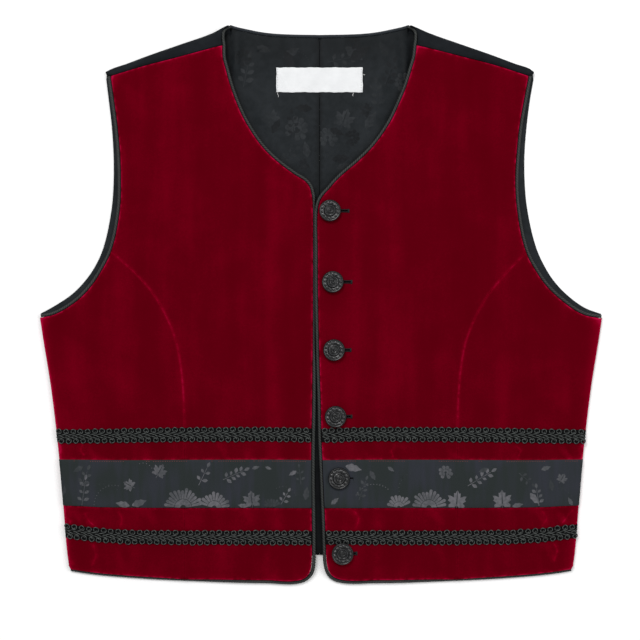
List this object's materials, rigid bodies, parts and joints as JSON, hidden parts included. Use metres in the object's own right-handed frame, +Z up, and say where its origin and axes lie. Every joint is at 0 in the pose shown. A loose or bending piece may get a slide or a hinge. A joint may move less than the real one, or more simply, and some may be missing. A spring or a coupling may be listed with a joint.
{
  "type": "folk-dress waistcoat",
  "caption": "Sleeveless velvet folk-dress waistcoat laid flat with its front up, with V neck, princess seams, braid and figured bands, and shank buttons.",
  "frame": {"origin": "middle of the waistcoat's outline, on the surface that it lies on", "axes": "+X across the waistcoat to the wearer's left, +Y up to the neck, +Z up off the surface"},
  "size_m": [0.505, 0.5028, 0.0136],
  "materials": {
    "velvet": "deep red cotton velvet with a soft sheen",
    "back_cloth": "plain black cloth",
    "lining": "black figured lining with a satin sheen",
    "band": "black figured ribbon cloth with greyer flowers",
    "braid": "black gimp braid",
    "piping": "black twisted cord",
    "button": "glossy black with a cast rosette",
    "label": "white woven tape, bare"
  },
  "bodies": {
    "root": {"back_right": "back_cloth", "back_left": "back_cloth", "back_lining_right": "lining", "back_lining_left": "lining", "front_right_centre": "velvet", "front_right_side": "velvet", "front_left_centre": "velvet", "front_left_side": "velvet", "band_right": "band", "band_left": "band", "braid_upper_right": "braid", "braid_upper_left": "braid", "braid_lower_right": "braid", "braid_lower_left": "braid", "piping_front_right": "piping", "piping_front_left": "piping", "piping_armhole_right": "piping", "piping_armhole_left": "piping", "piping_back_neck": "piping", "underlap": "back_cloth", "button_1": "button", "button_2": "button", "button_3": "button", "button_4": "button", "button_5": "button", "button_6": "button", "label": "label"}
  },
  "joints": []
}
